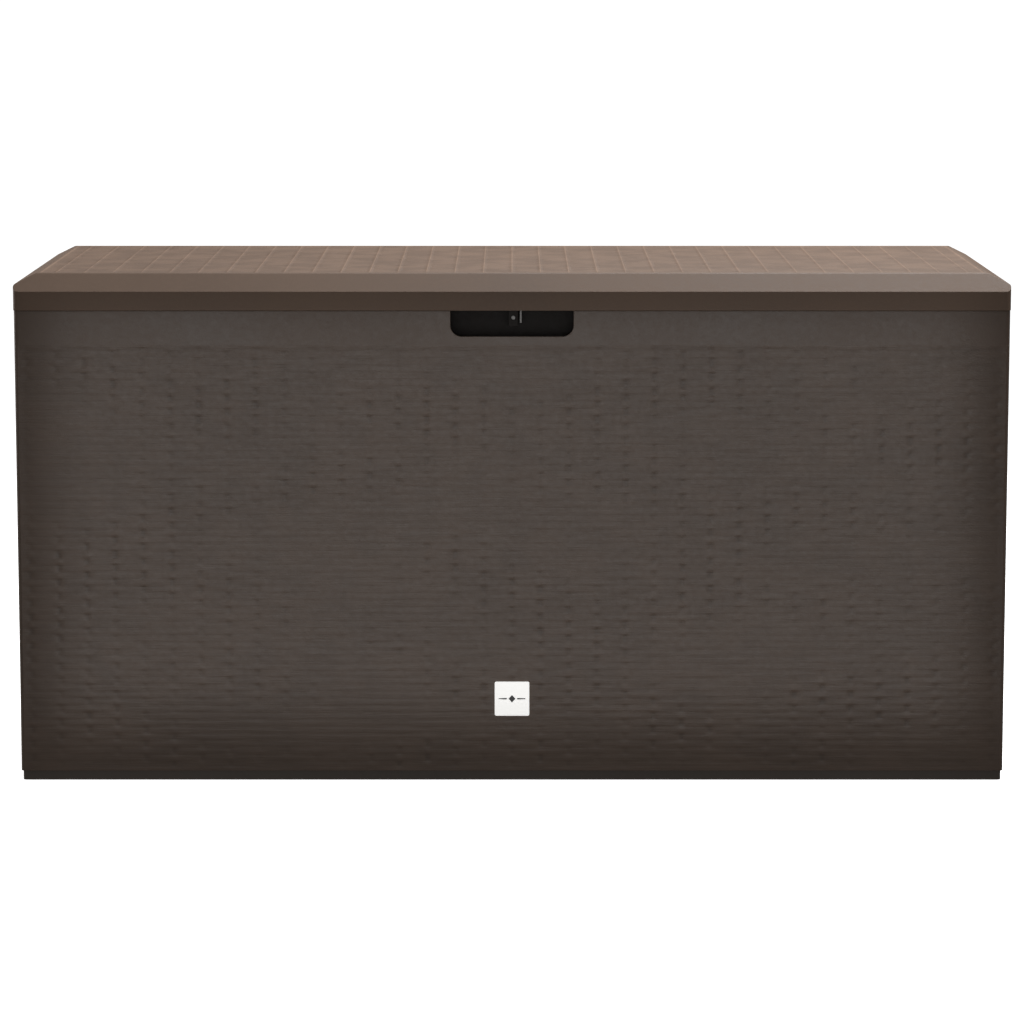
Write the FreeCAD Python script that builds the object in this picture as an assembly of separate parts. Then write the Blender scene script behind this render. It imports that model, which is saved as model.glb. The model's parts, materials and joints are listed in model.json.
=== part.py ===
"""Deck storage box: a long moulded-plastic garden chest with a hinged, bevelled lid.

Millimetres. The origin is the centre of the footprint on the ground, +X runs along the length,
-Y is the front and +Z is up. The lid is modelled shut.
"""
import FreeCAD, Part
import math
import os

# Overall size
LENGTH = 1140.0
DEPTH = 470.0
HEIGHT = 588.0

# Rear hinge line: the barrels stand out behind the box and set its overall depth
BARREL_R = 6.0
BARREL_GAP = 0.6
HINGE_Y = DEPTH / 2 - BARREL_R
HINGE_Z = 546.25
HINGE_X = (-380.0, 0.0, 380.0)
HINGE_NAMES = ("left", "centre", "right")
LEAF_WIDTH = 60.0
LEAF_T = 2.5
LID_KNUCKLE_LENGTH = 29.4
PIN_R = 2.5
PIN_PLAY = 0.05

# Lid
LID_FRONT = -DEPTH / 2
LID_REAR = HINGE_Y
LID_SIDE = LENGTH / 2
LID_BOTTOM = 546.5
BEVEL_BOTTOM = 568.0
BEVEL_INSET = 23.5
END_SHOULDER = 575.5
END_INSET = 25.0
END_FOOT_R = 3.5
LID_T = 4.0
LID_CORNER_R = 6.0
PLATEAU_EDGE_R = 6.0
PLATEAU_RIM = 4.0
FIELD_CORNER_R = 3.0
FIELD_DEPTH = 1.5
LID_OPEN_DEG = 95.0

# Walls
REVEAL = 2.0
END_REVEAL = 0.5
WALL_FRONT = LID_FRONT + REVEAL
WALL_REAR = LID_REAR - REVEAL
WALL_SIDE = LID_SIDE - END_REVEAL
WALL_T = 4.0
WALL_BOTTOM = 11.0
WALL_TOP = 546.0
WALL_CORNER_R = 5.0
CORNER_RETURN = 14.0
JOINT_GAP = 0.3
FIELD_TOP = 506.0
FIELD_BOTTOM = 12.5
FIELD_MARGIN = 4.5
INNER_FRONT = WALL_FRONT + WALL_T
INNER_REAR = WALL_REAR - WALL_T
INNER_SIDE = WALL_SIDE - WALL_T
RIB_T = 2.5
RIB_DEPTH = 6.0
WALL_RIB_PITCH = 180.0

# Rain lip: a ledge inside the wall tops that carries an upstand into the lid
LIP_T = 2.5
LIP_INSET = 2.5
LEDGE_BOTTOM = 538.0
LEDGE_TOP = 541.0
LIP_TOP = 554.0

# Base
BASE_INSET = 2.0
BASE_T = 3.0
FLANGE_WIDTH = 20.0
UPSTAND_TOP = 26.0
FLOOR_PLATE_BOTTOM = 5.0
FLOOR_TOP = WALL_BOTTOM - BASE_T
FLOOR_RIB_T = 3.0

# Corner posts and the snap rivets that hold them to the walls
POST_LEG = 25.0
POST_T = 3.0
POST_BOTTOM = 27.0
POST_TOP = 537.0
RIVET_R = 2.0
RIVET_HEAD_R = 4.5
RIVET_HEAD_T = 1.8
RIVET_GRIP = POST_T + 2.0
RIVET_INSET = 14.0
RIVET_Z = (90.0, 283.0, 476.0, 522.0)

# Hand notch in the front wall, the pocket behind it and the padlock ears inside it
NOTCH_HALF = 70.5
NOTCH_BOTTOM = 516.5
NOTCH_R = 13.0
POCKET_HALF = 75.0
POCKET_REAR = -201.0
POCKET_BOTTOM = 511.0
POCKET_T = 2.5
EAR_HOLE_R = 4.0
EAR_HOLE_Y = -215.5
EAR_HOLE_Z = 539.0
EAR_HALF_WIDTH = 7.5
LUG_X = -4.0
LUG_WIDTH = 11.0
LUG_BOTTOM = 527.5
LUG_ROOT = 6.0
LUG_ROOT_BOTTOM = 549.0
LUG_TOP = 563.0
BLADE_X = 9.0
BLADE_T = 2.0
BLADE_TOP = 546.0
STUD_Z = 537.5
STUD_HEAD_R = 2.2
STUD_HEAD_T = 1.2
STUD_R = 1.5
STUD_LENGTH = 3.0

# Hand grips in the end walls
GRIP_HALF = 48.0
GRIP_BOTTOM = 510.0
GRIP_TOP = 535.0
GRIP_R = 10.0
CUP_T = 2.5
CUP_DEPTH = 28.0

# Lid stays: an arm pivots on a lid bracket, and its foot pin slides in a curved track
BRACKET_T = 3.0
BRACKET_REACH = 24.0
STAY_NAMES = (("left", -1), ("right", 1))
STAY_RATIO = -1.12
PIVOT_Y = 119.0
PIVOT_Z = 566.0
SLIDER_Y = -10.0
SLIDER_Z = 401.0
ARM_X = 545.0
ARM_T = 4.0
ARM_HALF_WIDTH = 8.0
ARM_PIVOT_R = 3.0
SLIDER_R = 3.2
TRACK_GAP = 0.5
TRACK_T = 6.0
TRACK_BORDER = 9.0
GROOVE_DEPTH = 4.5
GROOVE_PLAY = 0.4
TRACK_STEPS = 14

# Fixings
SCREW_R = 1.8
SCREW_HEAD_R = 3.5
SCREW_HEAD_T = 1.5
SCREW_GRIP = LEAF_T + 3.0

# Front plaque
PLAQUE_SIZE = 40.0
PLAQUE_T = 0.7
PLAQUE_Z = 96.0
PLAQUE_R = 2.0
PLAQUE_PAD = 36.0

X_AXIS = FreeCAD.Vector(1, 0, 0)
Y_AXIS = FreeCAD.Vector(0, 1, 0)
Z_AXIS = FreeCAD.Vector(0, 0, 1)


def box(x0, x1, y0, y1, z0, z1):
    """Box between two corners."""
    return Part.makeBox(x1 - x0, y1 - y0, z1 - z0, FreeCAD.Vector(x0, y0, z0))


def rod(x, y, z, radius, length, axis):
    """Cylinder that starts at a point and runs along an axis."""
    return Part.makeCylinder(radius, length, FreeCAD.Vector(x, y, z), axis)


def fuse(shapes):
    """One solid from several touching ones."""
    whole = shapes[0]
    if len(shapes) > 1:
        whole = shapes[0].multiFuse(shapes[1:])
    return whole.removeSplitter()


def round_rect(x0, x1, y0, y1, z, radius):
    """Closed wire of a rectangle with rounded corners, level at height z."""
    diagonal = radius * (1 - math.sqrt(0.5))
    corners = ((x1, y0, 1, -1), (x1, y1, 1, 1), (x0, y1, -1, 1), (x0, y0, -1, -1))
    arcs = []
    for index, (x, y, sx, sy) in enumerate(corners):
        along_y = FreeCAD.Vector(x - sx * radius, y, z)
        along_x = FreeCAD.Vector(x, y - sy * radius, z)
        middle = FreeCAD.Vector(x - sx * diagonal, y - sy * diagonal, z)
        ends = (along_y, along_x) if index % 2 == 0 else (along_x, along_y)
        arcs.append((ends[0], middle, ends[1]))
    edges = []
    for index, (start, middle, end) in enumerate(arcs):
        edges.append(Part.Arc(start, middle, end).toShape())
        edges.append(Part.LineSegment(end, arcs[(index + 1) % 4][0]).toShape())
    return Part.Wire(edges)


def prism(x0, x1, y0, y1, z0, z1, radius):
    """Upright prism with rounded vertical edges."""
    return Part.Face(round_rect(x0, x1, y0, y1, z0, radius)).extrude(FreeCAD.Vector(0, 0, z1 - z0))


def mirror_x(shape):
    """The same shape on the other side of the middle."""
    return shape.mirror(FreeCAD.Vector(0, 0, 0), X_AXIS)


def on_side(shape, side):
    """A shape drawn for the right-hand end, put at the right (1) or left (-1) end."""
    return shape if side > 0 else mirror_x(shape)


# ---------------------------------------------------------------- walls

def wall_shell():
    """All four walls as one tube, before it is divided into panels."""
    outer = prism(-WALL_SIDE, WALL_SIDE, WALL_FRONT, WALL_REAR, WALL_BOTTOM, WALL_TOP, WALL_CORNER_R)
    inner = box(-INNER_SIDE, INNER_SIDE, INNER_FRONT, INNER_REAR, WALL_BOTTOM, WALL_TOP)
    return outer.cut(inner)


def rain_lip():
    """Ledge and upstand all round the inside of the wall tops."""
    inset = LIP_INSET + LIP_T
    ledge = box(-INNER_SIDE, INNER_SIDE, INNER_FRONT, INNER_REAR, LEDGE_BOTTOM, LEDGE_TOP)
    upstand = box(-INNER_SIDE + LIP_INSET, INNER_SIDE - LIP_INSET,
                  INNER_FRONT + LIP_INSET, INNER_REAR - LIP_INSET, LEDGE_BOTTOM, LIP_TOP)
    hole = box(-INNER_SIDE + inset, INNER_SIDE - inset,
               INNER_FRONT + inset, INNER_REAR - inset, LEDGE_BOTTOM, LIP_TOP)
    return ledge.fuse(upstand).cut(hole)


def long_wall_region(front):
    """Space that belongs to the front or the rear panel, with its short corner returns."""
    far = LENGTH
    if front:
        return box(-far, far, WALL_FRONT, WALL_FRONT + CORNER_RETURN, 0, HEIGHT)
    return box(-far, far, WALL_REAR - CORNER_RETURN, WALL_REAR, 0, HEIGHT)


def wall_ribs(face_y, inward):
    """Upright ribs on the inside of a long wall."""
    ribs = []
    for step in (-2, -1, 1, 2):
        x = step * WALL_RIB_PITCH
        y0, y1 = sorted((face_y, face_y + inward * RIB_DEPTH))
        ribs.append(box(x - RIB_T / 2, x + RIB_T / 2, y0, y1, POST_BOTTOM, LEDGE_BOTTOM))
    return ribs


def long_field(outer_y, inward):
    """Shallow recess of the woven field on a long wall."""
    half = WALL_SIDE - FIELD_MARGIN
    y0, y1 = sorted((outer_y, outer_y + inward * FIELD_DEPTH))
    return box(-half, half, y0, y1, FIELD_BOTTOM, FIELD_TOP)


def notch_tool():
    """Hand notch: open at the top, with rounded lower corners."""
    profile = round_rect(-NOTCH_HALF, NOTCH_HALF, NOTCH_BOTTOM, WALL_TOP + NOTCH_R * 2, 0, NOTCH_R)
    tool = Part.Face(profile).extrude(FreeCAD.Vector(0, 0, WALL_T * 4))
    tool.rotate(FreeCAD.Vector(0, 0, 0), X_AXIS, 90)
    tool.translate(FreeCAD.Vector(0, WALL_FRONT + WALL_T * 2, 0))
    return tool


def front_wall(rivets):
    """Front wall with its woven field, hand notch and plaque pad."""
    panel = wall_shell().common(long_wall_region(True))
    lip = rain_lip().common(long_wall_region(True))
    lip = lip.cut(box(-POCKET_HALF, POCKET_HALF, INNER_FRONT, INNER_FRONT + CORNER_RETURN,
                      LEDGE_BOTTOM, LIP_TOP))
    panel = fuse([panel, lip] + wall_ribs(INNER_FRONT, 1))
    pad = box(-PLAQUE_PAD / 2, PLAQUE_PAD / 2, WALL_FRONT, WALL_FRONT + FIELD_DEPTH,
              PLAQUE_Z - PLAQUE_PAD / 2, PLAQUE_Z + PLAQUE_PAD / 2)
    panel = panel.cut(long_field(WALL_FRONT, 1).cut(pad))
    return panel.cut(notch_tool()).cut(rivets)


def woven_part(wall):
    """Lower part of a wall, up to the top of its woven field."""
    return wall.common(box(-LENGTH, LENGTH, -DEPTH, DEPTH, 0, FIELD_TOP))


def top_rail(wall):
    """Plain upper part of a wall, with its ledge and rain lip."""
    return wall.common(box(-LENGTH, LENGTH, -DEPTH, DEPTH, FIELD_TOP, HEIGHT))


def back_panel(rivets, screws):
    panel = wall_shell().common(long_wall_region(False))
    lip = rain_lip().common(long_wall_region(False))
    panel = fuse([panel, lip] + wall_ribs(INNER_REAR, -1))
    panel = panel.cut(long_field(WALL_REAR, -1))
    for x in HINGE_X:
        panel = panel.cut(barrel_clearance(x))
    return panel.cut(rivets).cut(screws)


def end_wall(side, rivets):
    """End wall with its woven field and grip slot."""
    front = WALL_FRONT + CORNER_RETURN + JOINT_GAP
    rear = WALL_REAR - CORNER_RETURN - JOINT_GAP
    region = box(0, LENGTH, front, rear, 0, HEIGHT)
    panel = fuse([wall_shell().common(region), rain_lip().common(region)])
    field = box(WALL_SIDE - FIELD_DEPTH, WALL_SIDE, front + JOINT_GAP, rear - JOINT_GAP,
                FIELD_BOTTOM, FIELD_TOP)
    window = grip_window(INNER_SIDE - WALL_T, WALL_T * 3, GRIP_HALF, GRIP_BOTTOM, GRIP_TOP, GRIP_R)
    return on_side(panel.cut(field).cut(window), side).cut(rivets)


def grip_window(x0, length, half, bottom, top, radius):
    """Rounded slot through the right-hand end wall."""
    profile = round_rect(-half, half, bottom, top, 0, radius)
    tool = Part.Face(profile).extrude(FreeCAD.Vector(0, 0, length))
    tool.rotate(FreeCAD.Vector(0, 0, 0), FreeCAD.Vector(1, 1, 1), 120)
    tool.translate(FreeCAD.Vector(x0, 0, 0))
    return tool


def grip_cup(side):
    """Closed cup behind the grip slot, so that rain and fingers stay out of the box."""
    middle = (GRIP_BOTTOM + GRIP_TOP) / 2
    inner_half = GRIP_HALF + 0.5
    inner_z = (GRIP_TOP - GRIP_BOTTOM) / 2 + 0.5
    outer = grip_window(INNER_SIDE - CUP_DEPTH, CUP_DEPTH, inner_half + CUP_T,
                        middle - inner_z - CUP_T, middle + inner_z + CUP_T, GRIP_R + CUP_T)
    inner = grip_window(INNER_SIDE - CUP_DEPTH + CUP_T, CUP_DEPTH, inner_half,
                        middle - inner_z, middle + inner_z, GRIP_R)
    return on_side(outer.cut(inner), side)


# ---------------------------------------------------------------- base

def base_ring():
    """Plinth ring: outer skirt, flange that carries the walls, and an upstand inside them."""
    side = WALL_SIDE - BASE_INSET
    front = WALL_FRONT + BASE_INSET
    rear = WALL_REAR - BASE_INSET
    solid = prism(-side, side, front, rear, 0, WALL_BOTTOM, WALL_CORNER_R - 1)
    opening = box(-side + FLANGE_WIDTH, side - FLANGE_WIDTH, front + FLANGE_WIDTH,
                  rear - FLANGE_WIDTH, 0, WALL_BOTTOM)
    under = box(-side + BASE_T, side - BASE_T, front + BASE_T, rear - BASE_T, 0, FLOOR_TOP)
    gap = JOINT_GAP
    upstand = box(-INNER_SIDE + gap, INNER_SIDE - gap, INNER_FRONT + gap, INNER_REAR - gap,
                  WALL_BOTTOM, UPSTAND_TOP)
    inset = gap + LIP_T
    hole = box(-INNER_SIDE + inset, INNER_SIDE - inset, INNER_FRONT + inset, INNER_REAR - inset,
               WALL_BOTTOM, UPSTAND_TOP)
    return fuse([solid.cut(opening).cut(under), upstand.cut(hole)])


def long_base_rail(front):
    """Front or rear length of the plinth ring, with its corners."""
    edge = WALL_FRONT + BASE_INSET if front else WALL_REAR - BASE_INSET - FLANGE_WIDTH
    return base_ring().common(box(-LENGTH, LENGTH, edge, edge + FLANGE_WIDTH, 0, UPSTAND_TOP))


def end_base_rail(side):
    """End length of the plinth ring, between the long rails."""
    front = WALL_FRONT + BASE_INSET + FLANGE_WIDTH
    rear = WALL_REAR - BASE_INSET - FLANGE_WIDTH
    return on_side(base_ring().common(box(0, LENGTH, front, rear, 0, UPSTAND_TOP)), side)


def floor_panel():
    """Floor plate that sits under the flange, on a lattice of ribs that meets the ground."""
    side = WALL_SIDE - BASE_INSET - BASE_T - JOINT_GAP
    front = WALL_FRONT + BASE_INSET + BASE_T + JOINT_GAP
    rear = WALL_REAR - BASE_INSET - BASE_T - JOINT_GAP
    parts = [box(-side, side, front, rear, FLOOR_PLATE_BOTTOM, FLOOR_TOP)]
    columns = 9
    rows = 5
    for column in range(columns):
        x = -side + (2 * side - FLOOR_RIB_T) * column / (columns - 1)
        parts.append(box(x, x + FLOOR_RIB_T, front, rear, 0, FLOOR_PLATE_BOTTOM))
    for row in range(rows):
        y = front + (rear - front - FLOOR_RIB_T) * row / (rows - 1)
        parts.append(box(-side, side, y, y + FLOOR_RIB_T, 0, FLOOR_PLATE_BOTTOM))
    return fuse(parts)


# ---------------------------------------------------------------- corner posts

def corner_post(side, front, rivets):
    """Upright angle that ties a long wall to an end wall from the inside."""
    if front:
        along_wall = box(INNER_SIDE - POST_LEG, INNER_SIDE, INNER_FRONT, INNER_FRONT + POST_T,
                         POST_BOTTOM, POST_TOP)
        along_end = box(INNER_SIDE - POST_T, INNER_SIDE, INNER_FRONT, INNER_FRONT + POST_LEG,
                        POST_BOTTOM, POST_TOP)
    else:
        along_wall = box(INNER_SIDE - POST_LEG, INNER_SIDE, INNER_REAR - POST_T, INNER_REAR,
                         POST_BOTTOM, POST_TOP)
        along_end = box(INNER_SIDE - POST_T, INNER_SIDE, INNER_REAR - POST_LEG, INNER_REAR,
                        POST_BOTTOM, POST_TOP)
    return on_side(fuse([along_wall, along_end]), side).cut(rivets)


def rivet(x, y, z, axis):
    """Snap rivet: head on the post, shank through it into the wall."""
    back = axis * -RIVET_HEAD_T
    head = rod(x + back.x, y + back.y, z + back.z, RIVET_HEAD_R, RIVET_HEAD_T, axis)
    return head.fuse(rod(x, y, z, RIVET_R, RIVET_GRIP, axis)).removeSplitter()


def post_rivets():
    """Two rivets at each height of each post: one into the long wall, one into the end wall."""
    rivets = []
    reach = POST_LEG - 6.0
    for z in RIVET_Z:
        for side in (-1, 1):
            x_wall = side * (INNER_SIDE - RIVET_INSET)
            x_end = side * (INNER_SIDE - POST_T)
            outward = X_AXIS * side
            rivets.append(rivet(x_wall, INNER_FRONT + POST_T, z, Y_AXIS * -1))
            rivets.append(rivet(x_wall, INNER_REAR - POST_T, z, Y_AXIS))
            rivets.append(rivet(x_end, INNER_FRONT + reach, z, outward))
            rivets.append(rivet(x_end, INNER_REAR - reach, z, outward))
    return rivets


# ---------------------------------------------------------------- front pocket and padlock ears

def latch_pocket():
    """Open-fronted pocket behind the hand notch; its rear wall carries on the rain lip."""
    outer = box(-POCKET_HALF, POCKET_HALF, INNER_FRONT, POCKET_REAR, POCKET_BOTTOM, LIP_TOP)
    inner = box(-POCKET_HALF + POCKET_T, POCKET_HALF - POCKET_T, INNER_FRONT,
                POCKET_REAR - POCKET_T, POCKET_BOTTOM + POCKET_T, LIP_TOP)
    return outer.cut(inner)


def padlock_hole():
    """Hole through both padlock parts, along the length of the box."""
    return rod(LUG_X - 1, EAR_HOLE_Y, EAR_HOLE_Z, EAR_HOLE_R, BLADE_X + BLADE_T - LUG_X + 2, X_AXIS)


def padlock_blade():
    """Steel blade, edge-on to the front, that stands out of the pocket's rear wall."""
    wall = POCKET_REAR - POCKET_T
    blade = box(BLADE_X, BLADE_X + BLADE_T, EAR_HOLE_Y - EAR_HALF_WIDTH, wall,
                EAR_HOLE_Z - EAR_HALF_WIDTH, BLADE_TOP)
    return blade.cut(padlock_hole())


def padlock_lug(stud):
    """Lug that hangs from the inside of the lid's front wall, beside the blade."""
    wall = LID_FRONT + LID_T
    front = EAR_HOLE_Y - EAR_HALF_WIDTH
    rear = EAR_HOLE_Y + EAR_HALF_WIDTH
    lug = box(LUG_X, LUG_X + LUG_WIDTH, front, rear, LUG_BOTTOM, LUG_TOP)
    root = box(LUG_X - LUG_ROOT, LUG_X + LUG_WIDTH + LUG_ROOT, wall, front, LUG_ROOT_BOTTOM, LUG_TOP)
    return fuse([lug, root]).cut(padlock_hole()).cut(stud)


def padlock_stud():
    """Round steel stud in the front of the lug."""
    x = LUG_X + LUG_WIDTH / 2
    face = EAR_HOLE_Y - EAR_HALF_WIDTH
    head = rod(x, face - STUD_HEAD_T, STUD_Z, STUD_HEAD_R, STUD_HEAD_T, Y_AXIS)
    return head.fuse(rod(x, face, STUD_Z, STUD_R, STUD_LENGTH, Y_AXIS)).removeSplitter()


# ---------------------------------------------------------------- lid

def bevelled_length(side, front, rear, top, shoulder, inset):
    """Length of the lid with its flat front and rear bevels."""
    outline = ((front, LID_BOTTOM), (front, shoulder), (front + inset, top),
               (rear - inset, top), (rear, shoulder), (rear, LID_BOTTOM), (front, LID_BOTTOM))
    wire = Part.makePolygon([FreeCAD.Vector(-side, y, z) for y, z in outline])
    solid = Part.Face(wire).extrude(FreeCAD.Vector(2 * side, 0, 0))
    top_edges = [edge for edge in solid.Edges
                 if edge.Length > side and all(abs(vertex.Z - top) < 0.01 for vertex in edge.Vertexes)]
    return solid.makeFillet(PLATEAU_EDGE_R, top_edges)


def bevelled_ends(side, front, rear, top, shoulder, inset, foot_r):
    """Long solid whose ends slope gently up to the plateau from a higher, rounded shoulder."""
    crown = side - inset
    outline = ((side, LID_BOTTOM), (side, shoulder), (crown, top), (-crown, top),
               (-side, shoulder), (-side, LID_BOTTOM), (side, LID_BOTTOM))
    wire = Part.makePolygon([FreeCAD.Vector(x, front, z) for x, z in outline])
    solid = Part.Face(wire).extrude(FreeCAD.Vector(0, rear - front, 0))
    width = rear - front
    for height, radius in ((shoulder, foot_r), (top, PLATEAU_EDGE_R)):
        edges = [edge for edge in solid.Edges if abs(edge.Length - width) < 0.01
                 and all(abs(vertex.Z - height) < 0.01 for vertex in edge.Vertexes)]
        solid = solid.makeFillet(radius, edges)
    return solid


def lid_block(side, front, rear, top, shoulder, inset, end_shoulder, end_inset, corner_r):
    """Solid lid form: steep bevels front and rear, shallow bevels at the ends."""
    plan = prism(-side, side, front, rear, LID_BOTTOM, top, corner_r)
    long_form = bevelled_length(side, front, rear, top, shoulder, inset)
    ends = bevelled_ends(side, front, rear, top, end_shoulder, end_inset, END_FOOT_R)
    return plan.common(long_form).common(ends)


def lid_shell(screws):
    """Skirt, bevels and plateau, with the plateau sunk a little for its woven field."""
    outer = lid_block(LID_SIDE, LID_FRONT, LID_REAR, HEIGHT, BEVEL_BOTTOM, BEVEL_INSET,
                      END_SHOULDER, END_INSET, LID_CORNER_R)
    top = HEIGHT - LID_T
    shoulder = BEVEL_BOTTOM - LID_T / 2
    end_shoulder = END_SHOULDER - LID_T / 2
    inset = (top - shoulder) * BEVEL_INSET / (HEIGHT - BEVEL_BOTTOM)
    end_inset = (top - end_shoulder) * END_INSET / (HEIGHT - END_SHOULDER)
    inner = lid_block(LID_SIDE - LID_T, LID_FRONT + LID_T, LID_REAR - LID_T, top,
                      shoulder, inset, end_shoulder, end_inset, LID_CORNER_R - LID_T)
    margin = BEVEL_INSET + PLATEAU_RIM
    end_margin = END_INSET + PLATEAU_RIM
    field = prism(-LID_SIDE + end_margin, LID_SIDE - end_margin, LID_FRONT + margin,
                  LID_REAR - margin, HEIGHT - FIELD_DEPTH, HEIGHT, FIELD_CORNER_R)
    shell = outer.cut(inner).cut(field)
    for x in HINGE_X:
        shell = shell.cut(barrel_clearance(x))
    return shell.cut(screws)


def lid_rib_frame():
    """Lattice of stiffening ribs under the plateau."""
    half = 510.0
    front = -200.0
    rear = 194.0
    bottom = 566.0
    top = HEIGHT - LID_T
    columns = 9
    rows = 5
    ribs = []
    for column in range(columns):
        x = -half + (2 * half - RIB_T) * column / (columns - 1)
        ribs.append(box(x, x + RIB_T, front, rear, bottom, top))
    for row in range(rows):
        y = front + (rear - front - RIB_T) * row / (rows - 1)
        ribs.append(box(-half, half, y, y + RIB_T, bottom, top))
    return fuse(ribs)


# ---------------------------------------------------------------- hinges

def barrel_clearance(x):
    """Room for one hinge's barrels in the wall top and in the lid skirt."""
    length = LEAF_WIDTH + 2 * BARREL_GAP
    return rod(x - length / 2, HINGE_Y, HINGE_Z, BARREL_R + BARREL_GAP, length, X_AXIS)


def hinge_body_leaf(x, screws):
    """Leaf on the back panel, with a barrel at each end of the hinge."""
    half = LEAF_WIDTH / 2
    half_middle = LID_KNUCKLE_LENGTH / 2 + JOINT_GAP
    plate_top = HINGE_Z - BARREL_R - BARREL_GAP
    parts = [box(x - half, x + half, WALL_REAR, WALL_REAR + LEAF_T, 514.0, plate_top)]
    for x0, x1 in ((x - half, x - half_middle), (x + half_middle, x + half)):
        parts.append(rod(x0, HINGE_Y, HINGE_Z, BARREL_R, x1 - x0, X_AXIS))
        parts.append(box(x0, x1, WALL_REAR, WALL_REAR + LEAF_T, plate_top, HINGE_Z))
    pin_hole = rod(x - half, HINGE_Y, HINGE_Z, PIN_R, LEAF_WIDTH, X_AXIS)
    return fuse(parts).cut(pin_hole).cut(screws)


def hinge_lid_leaf(x, screws):
    """Leaf on the lid's rear skirt, with the middle barrel."""
    half = LEAF_WIDTH / 2
    half_middle = LID_KNUCKLE_LENGTH / 2
    plate_bottom = HINGE_Z + BARREL_R + BARREL_GAP
    plate = box(x - half, x + half, LID_REAR, LID_REAR + LEAF_T, plate_bottom, 567.0)
    neck = box(x - half_middle, x + half_middle, LID_REAR, LID_REAR + LEAF_T, HINGE_Z, plate_bottom)
    barrel = rod(x - half_middle, HINGE_Y, HINGE_Z, BARREL_R, 2 * half_middle, X_AXIS)
    pin_hole = rod(x - half, HINGE_Y, HINGE_Z, PIN_R + PIN_PLAY, LEAF_WIDTH, X_AXIS)
    return fuse([plate, neck, barrel]).cut(pin_hole).cut(screws)


def hinge_pin(x):
    """Pin held by the end barrels."""
    return rod(x - LEAF_WIDTH / 2, HINGE_Y, HINGE_Z, PIN_R, LEAF_WIDTH, X_AXIS)


def screw(x, y, z, axis):
    """Screw with its head's underside at the given point, driven along the axis."""
    back = axis * -SCREW_HEAD_T
    head = rod(x + back.x, y + back.y, z + back.z, SCREW_HEAD_R, SCREW_HEAD_T, axis)
    return head.fuse(rod(x, y, z, SCREW_R, SCREW_GRIP, axis)).removeSplitter()


def leaf_screws(leaf_face_y, z):
    """Two screws through one leaf of every hinge."""
    screws = []
    for x in HINGE_X:
        for offset in (-20.0, 20.0):
            screws.append(screw(x + offset, leaf_face_y, z, Y_AXIS * -1))
    return screws


# ---------------------------------------------------------------- lid stays

def swing(y, z, degrees):
    """Turn a vector in the YZ plane; positive angles lift the front."""
    angle = math.radians(degrees)
    return (y * math.cos(angle) + z * math.sin(angle), z * math.cos(angle) - y * math.sin(angle))


def slider_at(lid_degrees):
    """Where the foot pin of a stay is for one lid angle."""
    root = swing(PIVOT_Y - HINGE_Y, PIVOT_Z - HINGE_Z, lid_degrees)
    arm = swing(SLIDER_Y - PIVOT_Y, SLIDER_Z - PIVOT_Z, lid_degrees * (1 + STAY_RATIO))
    return HINGE_Y + root[0] + arm[0], HINGE_Z + root[1] + arm[1]


def track_band(x0, thickness, half_width):
    """Curved band along the foot pin's path, with round ends, as a solid on the YZ plane."""
    left = []
    right = []
    ends = []
    for step in range(TRACK_STEPS + 1):
        angle = LID_OPEN_DEG * step / TRACK_STEPS
        y, z = slider_at(angle)
        before = slider_at(angle - 0.1)
        after = slider_at(angle + 0.1)
        span = math.hypot(after[0] - before[0], after[1] - before[1])
        ty = (after[0] - before[0]) / span
        tz = (after[1] - before[1]) / span
        left.append(FreeCAD.Vector(x0, y - tz * half_width, z + ty * half_width))
        right.append(FreeCAD.Vector(x0, y + tz * half_width, z - ty * half_width))
        ends.append((y, z, ty, tz))
    start_y, start_z, start_ty, start_tz = ends[0]
    end_y, end_z, end_ty, end_tz = ends[-1]
    start_tip = FreeCAD.Vector(x0, start_y - start_ty * half_width, start_z - start_tz * half_width)
    end_tip = FreeCAD.Vector(x0, end_y + end_ty * half_width, end_z + end_tz * half_width)
    upper = Part.BSplineCurve()
    upper.interpolate(left)
    lower = Part.BSplineCurve()
    lower.interpolate(right[::-1])
    edges = [upper.toShape(), Part.Arc(left[-1], end_tip, right[-1]).toShape(),
             lower.toShape(), Part.Arc(right[0], start_tip, left[0]).toShape()]
    return Part.Face(Part.Wire(edges)).extrude(FreeCAD.Vector(thickness, 0, 0))


def stay_track(side):
    """Curved track on three short legs on the end wall."""
    x0 = ARM_X + ARM_T + TRACK_GAP
    groove_r = SLIDER_R + GROOVE_PLAY
    plate = track_band(x0, TRACK_T, groove_r + TRACK_BORDER)
    groove = track_band(x0, GROOVE_DEPTH, groove_r)
    parts = [plate.cut(groove)]
    for fraction in (0.04, 0.5, 0.96):
        y, z = slider_at(LID_OPEN_DEG * fraction)
        parts.append(rod(x0 + TRACK_T, y, z, groove_r + TRACK_BORDER - 3.0,
                         INNER_SIDE - x0 - TRACK_T, X_AXIS))
    return on_side(fuse(parts), side)


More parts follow.
